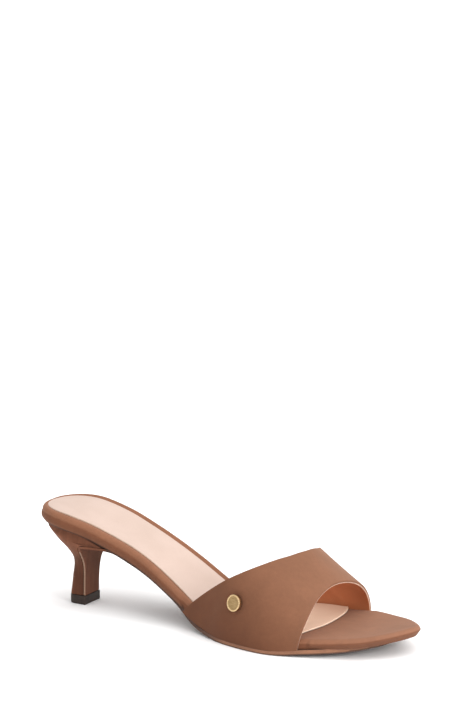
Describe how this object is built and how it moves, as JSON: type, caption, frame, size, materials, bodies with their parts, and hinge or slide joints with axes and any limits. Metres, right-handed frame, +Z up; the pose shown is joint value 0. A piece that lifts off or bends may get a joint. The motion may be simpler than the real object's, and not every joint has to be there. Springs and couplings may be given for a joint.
{
  "type": "kitten heel sandal",
  "caption": "Open-toe, open-back kitten heel mule with a wide leather vamp band, wrapped footbed, pale sock lining and a slim covered heel.",
  "frame": {"origin": "on the floor, under the centre of the shoe's bounding box", "axes": "+X towards the toe, +Y towards the medial (inner) side of this right shoe, +Z up from the floor"},
  "size_m": [0.24, 0.0842, 0.0575],
  "materials": {
    "outsole": "smooth leatherboard with a light tan cut edge",
    "footbed": "smooth brown nubuck wrapped over board",
    "sock_lining": "pale pink-beige smooth lining leather",
    "upper_band": "smooth brown nubuck, orange-brown lining inside",
    "heel": "smooth brown nubuck over a moulded block",
    "top_lift": "dark brown, satin",
    "rivet": "brushed brass, satin"
  },
  "bodies": {
    "root": {"outsole": "outsole", "footbed": "footbed", "sock_lining": "sock_lining", "upper_band": "upper_band", "heel": "heel", "top_lift": "top_lift", "rivet": "rivet"}
  },
  "joints": []
}
